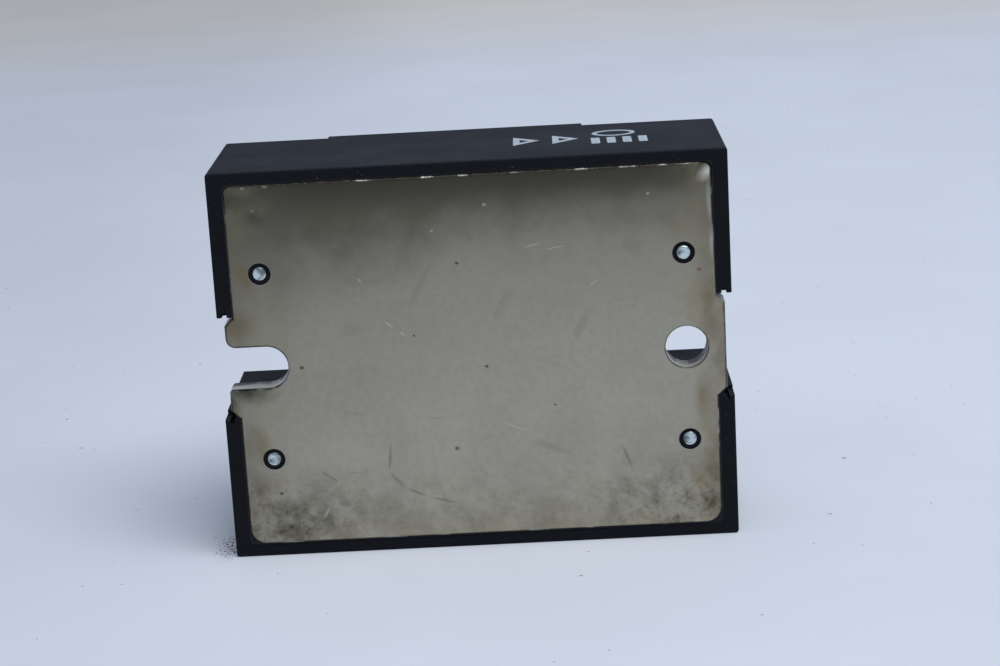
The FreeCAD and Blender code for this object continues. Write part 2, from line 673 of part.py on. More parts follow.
def top_label():
    low = PANEL_TOP_Y - LABEL_RECESS
    label = rounded_box((LABEL_X[0] + LABEL_GAP, LABEL_X[1] - LABEL_GAP), (low, low + LABEL_T),
                        (-LABEL_HALF_Z + LABEL_GAP, LABEL_HALF_Z - LABEL_GAP), LABEL_R - LABEL_GAP)
    return [less(label, [rod(LED_X, 0, LABEL_HOLE_R, 0, PANEL_TOP_Y + OUT)])]


# ---- resin -----------------------------------------------------------------------------------
def potting_resin(buried):
    """Cast resin behind the plate, up to its fill level, round everything that it buries."""
    level = box((-FULL_X, FULL_X), (PLATE_T, RESIN_TOP_Y), (-FULL_Z, FULL_Z))
    return less(inner_cavity().common(level), buried).Solids


# ---- all nodes -------------------------------------------------------------------------------
nodes = {
    "housing": [housing()],
    "base_plate": [base_plate()],
    "base_pins": base_pins(),
    "edge_sealant": edge_sealant(),
    "ceramic_substrate": ceramic_substrate(),
    "substrate_copper": substrate_copper(),
    "thyristor_chips": thyristor_chips(),
    "chip_straps": chip_straps(),
    "board_leads": board_leads(),
    "load_nuts": both_sides(terminal_nut(LOAD)),
    "control_nuts": both_sides(terminal_nut(CONTROL)),
    "control_board": [control_board()],
    "opto_driver": opto_driver(),
    "opto_pins": opto_pins(),
    "chip_resistors": chip_resistors(),
    "input_diode": on_board(DIODE),
    "drive_transistor": on_board(TRANSISTOR),
    "snubber_capacitor": on_board(CAPACITOR),
    "snubber_resistor": snubber_resistor(),
    "snubber_wires": snubber_wires(),
    "indicator_led": indicator_led(),
    "indicator_lens": indicator_lens(),
    "top_label": top_label(),
}
for kind, names, make_terminal, end in (
        ("load", ("1", "2"), load_terminal, LOAD),
        ("control", ("plus", "minus"), control_terminal, CONTROL)):
    for name, make_side in zip(names, (lambda shape: shape, mirrored)):
        nodes[f"{kind}_terminal_{name}"] = [make_side(make_terminal())]
        nodes[f"{kind}_clamp_{name}"] = [make_side(terminal_clamp(end))]
        nodes[f"{kind}_screw_{name}"] = [make_side(terminal_screw(end))]

buried_nodes = ("ceramic_substrate", "substrate_copper", "thyristor_chips", "chip_straps",
                "board_leads", "load_terminal_1", "load_terminal_2", "control_terminal_plus",
                "control_terminal_minus")
nodes["potting_resin"] = potting_resin([solid for name in buried_nodes for solid in nodes[name]])

os.makedirs("parts", exist_ok=True)
for name, solids in nodes.items():
    shape = solids[0] if len(solids) == 1 else Part.makeCompound(solids)
    if not shape.isValid():
        raise ValueError(name + " is not a valid shape")
    shape.exportStep(f"parts/{name}.step")
    print(f"{name:24s} solids {len(shape.Solids)}  volume {shape.Volume:9.2f} mm3")
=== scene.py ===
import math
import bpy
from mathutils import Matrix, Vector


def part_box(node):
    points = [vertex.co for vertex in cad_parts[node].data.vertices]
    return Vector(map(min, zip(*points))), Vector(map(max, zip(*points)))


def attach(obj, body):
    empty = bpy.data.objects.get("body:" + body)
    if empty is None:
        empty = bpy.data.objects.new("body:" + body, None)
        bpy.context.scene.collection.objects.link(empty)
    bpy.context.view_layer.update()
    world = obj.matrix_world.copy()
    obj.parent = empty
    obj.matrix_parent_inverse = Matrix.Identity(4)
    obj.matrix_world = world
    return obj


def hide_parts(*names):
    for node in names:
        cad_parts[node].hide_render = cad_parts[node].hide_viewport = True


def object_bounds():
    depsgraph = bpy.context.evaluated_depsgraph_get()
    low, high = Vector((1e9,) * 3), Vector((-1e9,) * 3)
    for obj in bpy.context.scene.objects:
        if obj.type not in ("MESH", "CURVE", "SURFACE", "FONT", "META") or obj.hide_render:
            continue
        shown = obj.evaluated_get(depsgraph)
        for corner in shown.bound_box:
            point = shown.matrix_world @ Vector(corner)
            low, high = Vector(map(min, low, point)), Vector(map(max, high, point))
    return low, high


bl_info = {
    "name": "Solid State Relay Finish",
    "version": (1, 0, 0),
    "blender": (4, 5, 0),
    "location": "3D View > Sidebar > Relay",
    "description": "Finishes, printed marks and stage for a panel-mount solid state relay",
    "category": "Object",
}

import bmesh
import bpy
from bpy.props import FloatProperty, FloatVectorProperty, PointerProperty
from mathutils import Matrix, Vector

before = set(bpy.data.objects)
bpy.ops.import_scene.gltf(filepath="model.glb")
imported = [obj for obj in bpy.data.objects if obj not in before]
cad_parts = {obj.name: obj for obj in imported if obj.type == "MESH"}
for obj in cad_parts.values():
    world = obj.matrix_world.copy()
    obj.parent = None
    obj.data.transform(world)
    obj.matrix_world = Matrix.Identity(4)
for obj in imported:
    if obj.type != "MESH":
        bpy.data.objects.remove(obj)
cad_low, cad_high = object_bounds()

MM = 0.001
BODY = "relay_body"

# Printed marks: the ink's thickness, and how far it sinks into what it's printed on.
INK_T = 0.03 * MM
INK_SUNK = 0.01 * MM
SIDE_WEDGES = {"x": (6.3 * MM, 10.8 * MM), "y": 10.6 * MM, "half_x": 2.0 * MM,
               "half_y": 3.0 * MM, "line": 0.75 * MM}
SIDE_OVAL = {"x": 16.9 * MM, "y": 13.2 * MM, "half_x": 2.5 * MM, "half_y": 1.9 * MM,
             "line": 0.55 * MM}
SIDE_BARS = {"x": 14.7 * MM, "pitch": 1.8 * MM, "count": 4, "y": 8.6 * MM, "wide": 1.0 * MM,
             "deep": 3.6 * MM}

# The label: a border, two rules, a sign at each corner and a ring round the indicator's lens.
LABEL_LINE = 0.45 * MM
LABEL_BORDER = 0.6 * MM
LABEL_CORNER = 1.2 * MM
LABEL_RULES_Z = (9.5 * MM, -9.5 * MM)
LABEL_RULE_INSET = 3.5 * MM
LABEL_SIGN = 2.6 * MM
LABEL_SIGN_Z = 14.2 * MM
LABEL_SIGN_INSET = 4.2 * MM
LENS_MARGIN = 0.5 * MM
LABEL_INK = (0.035, 0.038, 0.045)
FACING_TERMINALS = (math.radians(-90.0), 0.0, 0.0)

# The knocked corner: cuts that give it enough faces, then its reach and depth, and how far behind
# the plate's face it dies out.
PLATE_HALF_X = 27.2 * MM
WELD = 0.001 * MM
KNOCK_CUTS = 12
KNOCK_STEP = 0.3 * MM
KNOCK_REACH = 2.4 * MM
KNOCK_DEPTH = 0.45 * MM
KNOCK_BEHIND = 2.6 * MM
SMOOTH_UNDER = math.radians(35.0)

# Where wear and painted shade begin and are full on the plate, in millimetres along X or Z.
TOP_SHADE_Z = (8.5, 21.0)
UPPER_SHADE_Z = (-7.0, 12.0)
TOP_EDGE_SHADE_Z = (16.2, 20.8)
WARM_REACH = (21.0, 28.0)
FOOT_Z = (-16.5, -20.5)
LEFT_SHADE_X = (-16.0, -26.5)
ENDS_X = (24.2, 27.0)
GRIME_Z = (-9.5, -20.0)
GRIME_X = (9.0, 26.0)

# How squarely a point of the plate faces front: its sheared walls, and its rolled edge.
SHEARED_FACING = (0.45, 0.15)
ROLLED_FACING = (0.985, 0.80)

# The stage. Distances in the table's pattern are millimetres.
FLOOR_WIDTH = 6.0
FAR_Y = (330.0, 600.0)
FAR_LIGHT_TINT = (1.05, 0.93, 0.77)
SHADE_X = (0.0, -95.0)
CRUMB_OUT = 1.0 * MM
CRUMB_Y = 3.5 * MM
CRUMB_REACH = (3.2 * MM, 8.0 * MM, 1.0)
CRUMB_COLOUR = (0.03, 0.028, 0.026)
STRAY_COLOUR = (0.14, 0.14, 0.15)
ROOM_COLOUR = (0.72, 0.80, 0.95, 1.0)
KEY_PLACE = Vector((0.38, -0.50, 1.30))
KEY_SIZE = 0.95
KEY_COLOUR = (1.0, 0.98, 0.95)
CLIP_START = 0.01


# ---- settings --------------------------------------------------------------------------------
class RelayStageSettings(bpy.types.PropertyGroup):
    azimuth: FloatProperty(
        name="Azimuth", description="Camera's turn round the relay",
        default=math.radians(1.18), subtype="ANGLE", unit="ROTATION")
    elevation: FloatProperty(
        name="Elevation", description="Camera's height above the horizon",
        default=math.radians(14.5), subtype="ANGLE", unit="ROTATION")
    roll: FloatProperty(
        name="Roll", description="Camera's tilt about its own line of sight",
        default=math.radians(-3.2), subtype="ANGLE", unit="ROTATION")
    distance: FloatProperty(
        name="Distance", description="From the camera to the base plate's face",
        default=0.2667, min=0.05, subtype="DISTANCE", unit="LENGTH")
    aim: FloatVectorProperty(
        name="Aim", description="Point of the base plate that the camera looks at",
        default=(0.0028, 0.0, 0.0027), size=3, subtype="TRANSLATION", unit="LENGTH")
    lens: FloatProperty(
        name="Lens", description="Focal length of the camera in millimetres",
        default=85.3, min=20.0, max=200.0)
    floor_colour: FloatVectorProperty(
        name="Floor", description="Colour of the table top",
        default=(0.765, 0.825, 0.930), size=3, min=0.0, max=1.0, subtype="COLOR")
    key_power: FloatProperty(
        name="Key power", description="Power of the large light above and behind, in watts",
        default=13.2, min=0.0)
    fill_strength: FloatProperty(
        name="Fill", description="Brightness of the light from all round",
        default=0.46, min=0.0)


class RelayFinishSettings(bpy.types.PropertyGroup):
    plastic: FloatVectorProperty(
        name="Plastic", description="Colour of the moulded housing",
        default=(0.0042, 0.0052, 0.0078), size=3, min=0.0, max=1.0, subtype="COLOR")
    plate: FloatVectorProperty(
        name="Plate", description="Colour of the clean plated metal",
        default=(0.442, 0.410, 0.325), size=3, min=0.0, max=1.0, subtype="COLOR")
    stain: FloatVectorProperty(
        name="Stain", description="Colour of the warm stain along the plate's ends",
        default=(0.33, 0.275, 0.165), size=3, min=0.0, max=1.0, subtype="COLOR")
    ink: FloatVectorProperty(
        name="Ink", description="Colour of the printed marks",
        default=(0.50, 0.58, 0.68), size=3, min=0.0, max=1.0, subtype="COLOR")


# ---- node helpers ----------------------------------------------------------------------------
class Shader:
    """A material's node tree with the few steps that the finishes below share."""

    def __init__(self, name):
        self.material = bpy.data.materials.new(name)
        self.material.use_nodes = True
        self.tree = self.material.node_tree
        self.surface = self.tree.nodes["Principled BSDF"]
        self.place = self.add("ShaderNodeTexCoord").outputs["Object"]

    def add(self, kind, **values):
        """A new node, with its settings."""
        node = self.tree.nodes.new(kind)
        for key, value in values.items():
            setattr(node, key, value)
        return node

    def link(self, source, target):
        self.tree.links.new(source, target)

    def fixed(self, **values):
        """Constants, set on the shader's own sockets."""
        for key, value in values.items():
            self.surface.inputs[key.replace("_", " ")].default_value = value

    def scaled(self, shift=(0.0, 0.0, 0.0)):
        """Object coordinates in millimetres, shifted for one pattern."""
        node = self.add("ShaderNodeMapping")
        node.inputs["Location"].default_value = shift
        node.inputs["Scale"].default_value = (1.0 / MM,) * 3
        self.link(self.place, node.inputs["Vector"])
        return node.outputs["Vector"]

    def noise(self, size_mm, detail=3.0, rough=0.5, shift=(0.0, 0.0, 0.0)):
        """Cloudy pattern from 0 to 1, with patches of about this size."""
        node = self.add("ShaderNodeTexNoise")
        node.inputs["Scale"].default_value = 1.0 / size_mm
        node.inputs["Detail"].default_value = detail
        node.inputs["Roughness"].default_value = rough
        self.link(self.scaled(shift), node.inputs["Vector"])
        return node.outputs["Fac"]

    def mix(self, factor, first, second):
        """The first colour, giving way to the second as the factor rises to 1."""
        node = self.add("ShaderNodeMix", data_type="RGBA")
        sockets = (node.inputs[0], node.inputs[6], node.inputs[7])
        for value, socket in zip((factor, first, second), sockets):
            if isinstance(value, bpy.types.NodeSocket):
                self.link(value, socket)
            elif isinstance(value, (int, float)):
                socket.default_value = value
            else:
                socket.default_value = (*value, 1.0)
        return node.outputs[2]

    def math(self, operation, *values, clamp=False):
        """One step of arithmetic on sockets or numbers."""
        node = self.add("ShaderNodeMath", operation=operation, use_clamp=clamp)
        for value, socket in zip(values, node.inputs):
            if isinstance(value, bpy.types.NodeSocket):
                self.link(value, socket)
            else:
                socket.default_value = value
        return node.outputs[0]

    def remap(self, source, low, high, out_low=0.0, out_high=1.0):
        """A smooth step from out_low at low to out_high at high."""
        node = self.add("ShaderNodeMapRange", interpolation_type="SMOOTHSTEP")
        self.link(source, node.inputs["Value"])
        for key, value in (("From Min", low), ("From Max", high), ("To Min", out_low),
                           ("To Max", out_high)):
            node.inputs[key].default_value = value
        return node.outputs["Result"]

    def spots(self, marks, core=0.45):
        """Mask of oval marks, each (x, z, half length, half width, turn), full within the core."""
        mask = None
        for x, z, long, wide, turn in marks:
            oval = self.add("ShaderNodeMapping", vector_type="TEXTURE")
            oval.inputs["Location"].default_value = (x * MM, 0.0, z * MM)
            oval.inputs["Rotation"].default_value = (0.0, math.radians(turn), 0.0)
            oval.inputs["Scale"].default_value = (long * MM, 1.0, wide * MM)
            self.link(self.place, oval.inputs["Vector"])
            reach = self.add("ShaderNodeVectorMath", operation="LENGTH")
            self.link(oval.outputs["Vector"], reach.inputs[0])
            spot = self.remap(reach.outputs["Value"], 1.0, core)
            mask = spot if mask is None else self.math("MAXIMUM", mask, spot)
        return mask

    def axes_mm(self):
        """The x, y and z of a point, in millimetres."""
        node = self.add("ShaderNodeSeparateXYZ")
        self.link(self.scaled(), node.inputs[0])
        return node.outputs

    def normal_part(self, axis):
        """How far the surface faces along an axis, from -1 to 1."""
        node = self.add("ShaderNodeSeparateXYZ")
        self.link(self.add("ShaderNodeTexCoord").outputs["Normal"], node.inputs[0])
        return node.outputs["XYZ".index(axis)]

    def colour(self, source):
        """Drives the surface's colour."""
        self.link(source, self.surface.inputs["Base Color"])

    def roughness(self, source):
        """Drives the surface's roughness."""
        self.link(source, self.surface.inputs["Roughness"])

    def bump(self, height, distance_mm, strength=1.0, below=None):
        """Relief of this height in millimetres, laid over the relief below it."""
        node = self.add("ShaderNodeBump")
        node.inputs["Strength"].default_value = strength
        node.inputs["Distance"].default_value = distance_mm * MM
        self.link(height, node.inputs["Height"])
        if below is not None:
            self.link(below, node.inputs["Normal"])
        self.link(node.outputs["Normal"], self.surface.inputs["Normal"])
        return node.outputs["Normal"]


# Tones that wear and dirt add to a finish; some of them also paint shade and highlights on the plate.
DUST = (0.025, 0.036, 0.056)
LINT = (0.110, 0.125, 0.150)
TARNISH_AND_SHADE = (0.150, 0.140, 0.110)
GRIME_AND_SHADE = (0.075, 0.066, 0.044)
BRIGHT_WEAR_AND_HIGHLIGHT = (0.78, 0.80, 0.80)
SHEARED_AND_HIGHLIGHT = (0.74, 0.74, 0.73)
GLARE = (0.95, 0.91, 0.80)
BROWN = (0.20, 0.145, 0.072)
SOOT_AND_SHADE = (0.035, 0.032, 0.026)
VERDIGRIS = (0.03, 0.11, 0.13)
RUST = (0.22, 0.07, 0.03)

# Wear on the plate, and painted highlights where marks sit on its top edge: (tone, strength, marks);
# a mark is (x, z, half length, half width, turn) in millimetres and degrees.
PLATE_MARKS = (
    (SOOT_AND_SHADE, 0.75, (
        (1.1, -1.1, 0.28, 0.22, 0), (-19.8, -0.2, 0.32, 0.26, 0), (-1.6, 11.0, 0.30, 0.20, 20),
        (-23.2, -15.0, 0.30, 0.20, 10), (-6.9, 2.9, 0.20, 0.16, 0), (8.6, -6.0, 0.18, 0.15, 0))),
    (TARNISH_AND_SHADE, 0.42, (
        (-10.5, -11.3, 1.9, 0.24, 96), (-9.8, -14.1, 1.5, 0.24, 49), (-7.7, -15.6, 1.5, 0.24, 24),
        (-4.7, -16.7, 2.0, 0.20, 15),
        (-17.6, -13.2, 1.5, 0.18, 35), (-16.0, -16.6, 1.0, 0.5, 12), (16.5, -12.5, 1.8, 0.25, 70))),
    (TARNISH_AND_SHADE, 0.16, (
        (-6.0, 8.4, 3.6, 0.5, -62), (3.2, 6.0, 2.6, 0.6, -55), (12.0, 3.2, 2.4, 0.6, -60),
        (8.0, -11.0, 3.0, 0.5, 20), (-14.0, 4.0, 1.4, 1.0, 0), (18.0, 12.0, 1.6, 1.2, 30),
        (-14.1, -5.9, 1.3, 0.20, 10), (-14.1, -12.9, 2.9, 0.14, 0), (-4.9, -6.9, 1.5, 0.16, -5))),
    (BRIGHT_WEAR_AND_HIGHLIGHT, 0.27, (
        (-9.6, 4.3, 0.75, 0.14, 42), (-8.2, 3.2, 0.35, 0.14, 40), (6.8, 12.6, 1.1, 0.09, -12),
        (9.4, 12.2, 1.4, 0.08, -8), (-12.6, 9.6, 0.5, 0.12, 50),
        (4.0, -8.4, 1.6, 0.08, 24), (1.8, 17.5, 0.3, 0.25, 0), (20.0, 17.8, 0.25, 0.22, 0),
        # the first two marks on the next line sit on the plate's top edge: painted highlights
        (-22.4, 20.8, 0.42, 0.22, 0), (-24.9, 20.7, 0.25, 0.18, 0), (-24.0, 18.1, 0.22, 0.18, 0),
        (-4.2, 14.8, 0.22, 0.18, 0), (13.5, 7.9, 0.8, 0.08, -40), (-18.2, -17.6, 0.9, 0.16, -58))),
    (VERDIGRIS, 0.75, ((-2.8, -10.6, 0.34, 0.30, 0),)),
    (RUST, 0.65, ((25.4, 8.9, 0.36, 0.26, 0),)),
)

# Wide faint areas: brown stain about both mounting points, painted shade under the slot's lower lip
# and in the upper corner beside it, a painted glare highlight on the knocked corner and a painted
# highlight along the end below it.
PLATE_AREAS = (
    (BROWN, 0.60, (
        (-26.6, 5.2, 3.0, 2.4, 0), (-25.4, 10.6, 3.4, 1.6, 70), (25.4, -6.4, 4.2, 1.5, 88),
        (26.3, 5.0, 4.6, 1.1, 90), (-24.9, -9.5, 3.4, 1.4, 80), (-19.6, -18.3, 0.9, 0.7, 0),
        (24.6, -15.4, 2.4, 1.3, 60))),
    (GRIME_AND_SHADE, 0.75, (
        (-26.0, -2.9, 4.4, 1.9, 6), (-28.0, -4.4, 1.3, 2.6, 0), (-26.6, 19.4, 3.2, 1.8, 12),
        (-24.0, 17.4, 2.0, 1.2, 40))),
    (SOOT_AND_SHADE, 0.70, ((-26.7, -2.6, 3.0, 1.1, 4), (-28.2, -3.4, 0.9, 1.6, 0))),
    # painted glare highlight on the knocked corner
    (GLARE, 0.85, ((26.8, 20.0, 1.9, 1.1, -38),)),
    # painted highlight along the rolled right end below the corner
    (BRIGHT_WEAR_AND_HIGHLIGHT, 0.30, ((26.8, 16.6, 3.4, 0.5, 88), (26.9, 12.0, 2.6, 0.4, 90))),
)


def dress(names, material):
    """Gives CAD nodes their finish."""
    for name in names:
        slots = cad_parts[name].data.materials
        slots.clear()
        slots.append(material)


# ---- finishes --------------------------------------------------------------------------------
def moulded_plastic(colour):
    """Black glass-filled plastic: matt spark-eroded grain, thin dust on upward faces."""
    s = Shader("moulded_plastic")
    cloud = s.noise(9.0, detail=4.0)
    dust = s.noise(0.7, detail=4.0, rough=0.7, shift=(3.0, 1.0, 2.0))
    base = s.mix(s.remap(cloud, 0.3, 0.7), [c * 0.85 for c in colour], [c * 1.2 for c in colour])
    up = s.remap(s.normal_part("Z"), 0.2, 0.95)
    dusty = s.math("MULTIPLY", up, s.remap(dust, 0.25, 0.75, 0.7, 1.0))
    dusty = s.math("MULTIPLY", dusty, s.remap(s.axes_mm()[0], -26.0, 24.0, 0.78, 1.22))
    base = s.mix(s.math("MULTIPLY", dusty, 0.32), base, DUST)
    lint = s.remap(s.noise(0.35, detail=2.0, shift=(9.0, 4.0, 6.0)), 0.70, 0.76)
    base = s.mix(s.math("MULTIPLY", lint, 0.45), base, LINT)
    s.colour(base)
    s.roughness(s.remap(cloud, 0.3, 0.7, 0.52, 0.64))
    s.fixed(Specular_IOR_Level=0.12)
    fine = s.bump(s.noise(0.20, detail=2.0), 0.012)
    s.bump(s.noise(14.0, detail=1.0), 0.15, strength=0.35, below=fine)
    return s.material


def plate_metal(clean, stain):
    """Plated metal that has been in use: warm stain at the ends, grime low down, scratches, painted
    shade toward the top and painted highlights on the edges.
    """
    s = Shader("plate_metal")
    x, _, z = s.axes_mm()
    off_middle = s.math("ABSOLUTE", x)
    cloud = s.noise(8.0, detail=6.0, rough=0.60)
    fine = s.noise(0.9, detail=4.0, rough=0.65, shift=(4.0, 0.0, 9.0))
    base = s.mix(s.remap(cloud, 0.32, 0.68), [c * 0.90 for c in clean], [c * 1.06 for c in clean])
    base = s.mix(s.remap(fine, 0.35, 0.75, 0.0, 0.32), base, [c * 0.70 for c in clean])
    # painted shade: darker toward the upper edge and further down at the slotted end, with a darker
    # painted band just under that edge
    drift = s.math("ADD", s.remap(x, 2.0, -18.0, 0.0, 3.6), s.remap(cloud, 0.25, 0.75, -2.2, 2.2))
    depth = s.math("ADD", z, drift)
    top_shade = s.math("MULTIPLY", s.remap(depth, *TOP_SHADE_Z), s.remap(x, 6.0, 26.0, 0.80, 0.76))
    base = s.mix(s.remap(depth, *UPPER_SHADE_Z, 0.0, 0.26), base, TARNISH_AND_SHADE)
    base = s.mix(top_shade, base, GRIME_AND_SHADE)
    base = s.mix(s.remap(z, *TOP_EDGE_SHADE_Z, 0.0, 0.62), base, SOOT_AND_SHADE)
    # warm stain creeping in from both ends, in patches
    reach = s.math("ADD", off_middle, s.remap(cloud, 0.2, 0.8, -3.5, 3.5))
    patch = s.remap(s.noise(3.2, detail=4.0, rough=0.6, shift=(6.0, 2.0, 8.0)), 0.35, 0.65, 0.35, 1.0)
    warm = s.math("MULTIPLY", s.remap(reach, *WARM_REACH), patch)
    foot = s.math("MULTIPLY", s.remap(z, *FOOT_Z), s.math("MULTIPLY", patch, 0.35))
    base = s.mix(s.math("MAXIMUM", s.math("MULTIPLY", warm, 0.62), foot), base, stain)
    # painted shade: the slotted end darker, more so toward its top
    left = s.math("MULTIPLY", s.remap(x, *LEFT_SHADE_X), s.remap(z, -2.0, 14.0, 0.45, 0.9))
    base = s.mix(s.math("MULTIPLY", left, 0.38), base, TARNISH_AND_SHADE)
    # tarnish in patches at both ends
    ends = s.math("MULTIPLY", s.remap(off_middle, *ENDS_X), patch)
    base = s.mix(s.math("MULTIPLY", ends, 0.45), base, TARNISH_AND_SHADE)
    # speckled grime, thickest in the two lower corners
    low = s.remap(z, *GRIME_Z)
    corner = s.math("MULTIPLY", low, s.remap(off_middle, *GRIME_X, 0.30, 1.0))
    speck = s.remap(s.noise(0.85, detail=6.0, rough=0.78, shift=(7.0, 2.0, 1.0)), 0.44, 0.66)
    film = s.remap(s.noise(3.6, detail=4.0, rough=0.6, shift=(1.0, 5.0, 3.0)), 0.40, 0.66)
    grime = s.math("MULTIPLY", corner,
                   s.math("ADD", s.math("MULTIPLY", speck, 0.44), s.math("MULTIPLY", film, 0.60)))
    base = s.mix(grime, base, GRIME_AND_SHADE)
    for tone, strength, marks in PLATE_MARKS:
        mask = s.spots(marks)
        base = s.mix(s.math("MULTIPLY", mask, strength), base, tone)
    for tone, strength, areas in PLATE_AREAS:
        mask = s.math("MULTIPLY", s.spots(areas, core=0.0), s.remap(fine, 0.3, 0.7, 0.7, 1.0))
        base = s.mix(s.math("MULTIPLY", mask, strength), base, tone)
    # the edge: dark where it's rolled over, painted highlight spots along the rolled edge, light on
    # the sheared walls
    facing = s.math("ABSOLUTE", s.normal_part("Y"))
    sheared = s.remap(facing, *SHEARED_FACING)
    rolled = s.math("SUBTRACT", s.remap(facing, *ROLLED_FACING), sheared, clamp=True)
    edge_glints = s.remap(s.noise(3.0, detail=3.0, rough=0.6, shift=(2.0, 8.0, 5.0)), 0.52, 0.66)
    base = s.mix(s.math("MULTIPLY", rolled, 0.80), base, SOOT_AND_SHADE)
    base = s.mix(s.math("MULTIPLY", s.math("MULTIPLY", rolled, edge_glints), 0.52), base, SHEARED_AND_HIGHLIGHT)
    base = s.mix(s.math("MULTIPLY", sheared, 0.95), base, SHEARED_AND_HIGHLIGHT)
    s.colour(base)
    s.fixed(Metallic=1.0)
    rough = s.math("ADD", s.remap(cloud, 0.3, 0.7, 0.36, 0.46), s.math("MULTIPLY", grime, 0.30))
    rough = s.math("ADD", rough, s.math("MULTIPLY", sheared, 0.25))
    s.roughness(rough)
    grain = s.bump(s.noise(0.16, detail=2.0, rough=0.6), 0.003)
    nicks = s.math("MULTIPLY", rolled, s.noise(1.3, detail=3.0, rough=0.6, shift=(2.0, 8.0, 5.0)))
    nicked = s.bump(nicks, 0.28, strength=0.8, below=grain)
    s.bump(s.noise(18.0, detail=1.0), 0.20, strength=0.30, below=nicked)
    return s.material


def printing_ink(colour):
    """Pad-printed ink, worn thin in places."""
    s = Shader("printing_ink")
    worn = s.remap(s.noise(0.45, detail=4.0, rough=0.7), 0.42, 0.62)
    s.colour(s.mix(s.math("MULTIPLY", worn, 0.45), colour, [c * 0.35 for c in colour]))
    s.roughness(s.remap(worn, 0.0, 1.0, 0.45, 0.7))
    s.bump(s.noise(0.25, detail=2.0), 0.004)
    return s.material


def simple_metal(name, colour, rough, grain_mm=0.3, spread=0.15, tarnish=None):
    """Small plated or drawn metal part with a faint grain and uneven tone."""
    s = Shader(name)
    cloud = s.noise(1.8, detail=4.0)
    base = s.mix(s.remap(cloud, 0.3, 0.7), [c * (1 - spread) for c in colour], colour)
    if tarnish:
        base = s.mix(s.remap(s.noise(0.7, detail=3.0, shift=(5.0, 5.0, 0.0)), 0.52, 0.72, 0.0, 0.7),
                     base, tarnish)
    s.colour(base)
    s.fixed(Metallic=1.0)
    s.roughness(s.remap(cloud, 0.3, 0.7, rough * 0.8, rough * 1.25))
    s.bump(s.noise(grain_mm, detail=2.0), 0.004)
    return s.material


def struck_steel(bright, dark):
    """Pin ends peened over by a punch: small facets, light and dark."""
    s = Shader("pin_steel")
    facet = s.noise(1.1, detail=2.0, rough=0.5, shift=(3.0, 0.0, 7.0))
    s.colour(s.mix(s.remap(facet, 0.36, 0.58), dark, bright))
    s.fixed(Metallic=1.0)
    s.roughness(s.remap(facet, 0.3, 0.7, 0.42, 0.24))
    s.bump(s.noise(1.3, detail=1.0, shift=(1.0, 4.0, 2.0)), 0.35, strength=0.9)
    return s.material


def simple_plastic(name, colour, rough, spread=0.2, grain_mm=0.3, height_mm=0.006, **fixed):
    """Small moulded, cast or lacquered part."""
    s = Shader(name)
    cloud = s.noise(2.2, detail=3.0)
    s.colour(s.mix(s.remap(cloud, 0.3, 0.7), [c * (1 - spread) for c in colour], colour))
    s.roughness(s.remap(cloud, 0.3, 0.7, rough * 0.9, min(1.0, rough * 1.15)))
    s.fixed(**fixed)
    s.bump(s.noise(grain_mm, detail=2.0), height_mm)
    return s.material


# ---- modelling -------------------------------------------------------------------------------
def fresh(add, **values):
    """Adds one primitive with nothing else selected, and opens it in edit mode."""
    bpy.ops.object.select_all(action="DESELECT")
    add(**values)
    bpy.ops.object.mode_set(mode="EDIT")
    bpy.ops.mesh.select_all(action="SELECT")
    return bpy.context.object


def thickened(piece, line, height):
    """Turns a flat outline into a raised print, hollow when it has a line width."""
    if line:
        bpy.ops.mesh.inset(thickness=line)
        bpy.ops.mesh.delete(type="FACE")
        bpy.ops.mesh.select_all(action="SELECT")
    bpy.ops.mesh.extrude_region_move(TRANSFORM_OT_translate={"value": (0.0, 0.0, height)})
    bpy.ops.mesh.select_all(action="SELECT")
    bpy.ops.mesh.normals_make_consistent(inside=False)
    bpy.ops.object.mode_set(mode="OBJECT")
    return piece


def printed_bar(width, depth, corner, line=0.0):
    """Rectangle with rounded corners, or its outline."""
    piece = fresh(bpy.ops.mesh.primitive_plane_add, size=1.0)
    bpy.ops.transform.resize(value=(width, depth, 1.0), center_override=(0.0, 0.0, 0.0))
    bpy.ops.mesh.bevel(offset=corner, segments=5, affect="VERTICES")
    return thickened(piece, line, INK_T)


def printed_ring(half_x, half_y, line, sides=56):
    """Outline of an oval, or of a shape with few sides that points along X."""
    piece = fresh(bpy.ops.mesh.primitive_circle_add, radius=1.0, vertices=sides, fill_type="NGON")
    bpy.ops.transform.rotate(value=math.radians(90.0), center_override=(0.0, 0.0, 0.0))
    bpy.ops.transform.resize(value=(half_x, half_y, 1.0), center_override=(0.0, 0.0, 0.0))
    return thickened(piece, line, INK_T)


def printed_plus(size):
    """Plus sign: a grid of nine squares without its corners."""
    piece = fresh(bpy.ops.mesh.primitive_grid_add, x_subdivisions=3, y_subdivisions=3, size=size)
    bpy.ops.mesh.select_all(action="DESELECT")
    shape = bmesh.from_edit_mesh(piece.data)
    reach = size / 4
    for face in shape.faces:
        centre = face.calc_center_median()
        face.select_set(abs(centre.x) > reach and abs(centre.y) > reach)
    bmesh.update_edit_mesh(piece.data)
    bpy.ops.mesh.delete(type="FACE")
    bpy.ops.mesh.select_all(action="SELECT")
    return thickened(piece, 0.0, INK_T)


def laid(piece, place, turn=(0.0, 0.0, 0.0)):
    """Puts a piece in its place, with the place held in its mesh."""
    piece.location = place
    piece.rotation_euler = turn
    bpy.ops.object.select_all(action="DESELECT")
    piece.select_set(True)
    bpy.context.view_layer.objects.active = piece
    bpy.ops.object.transform_apply(location=True, rotation=True, scale=True)
    return piece


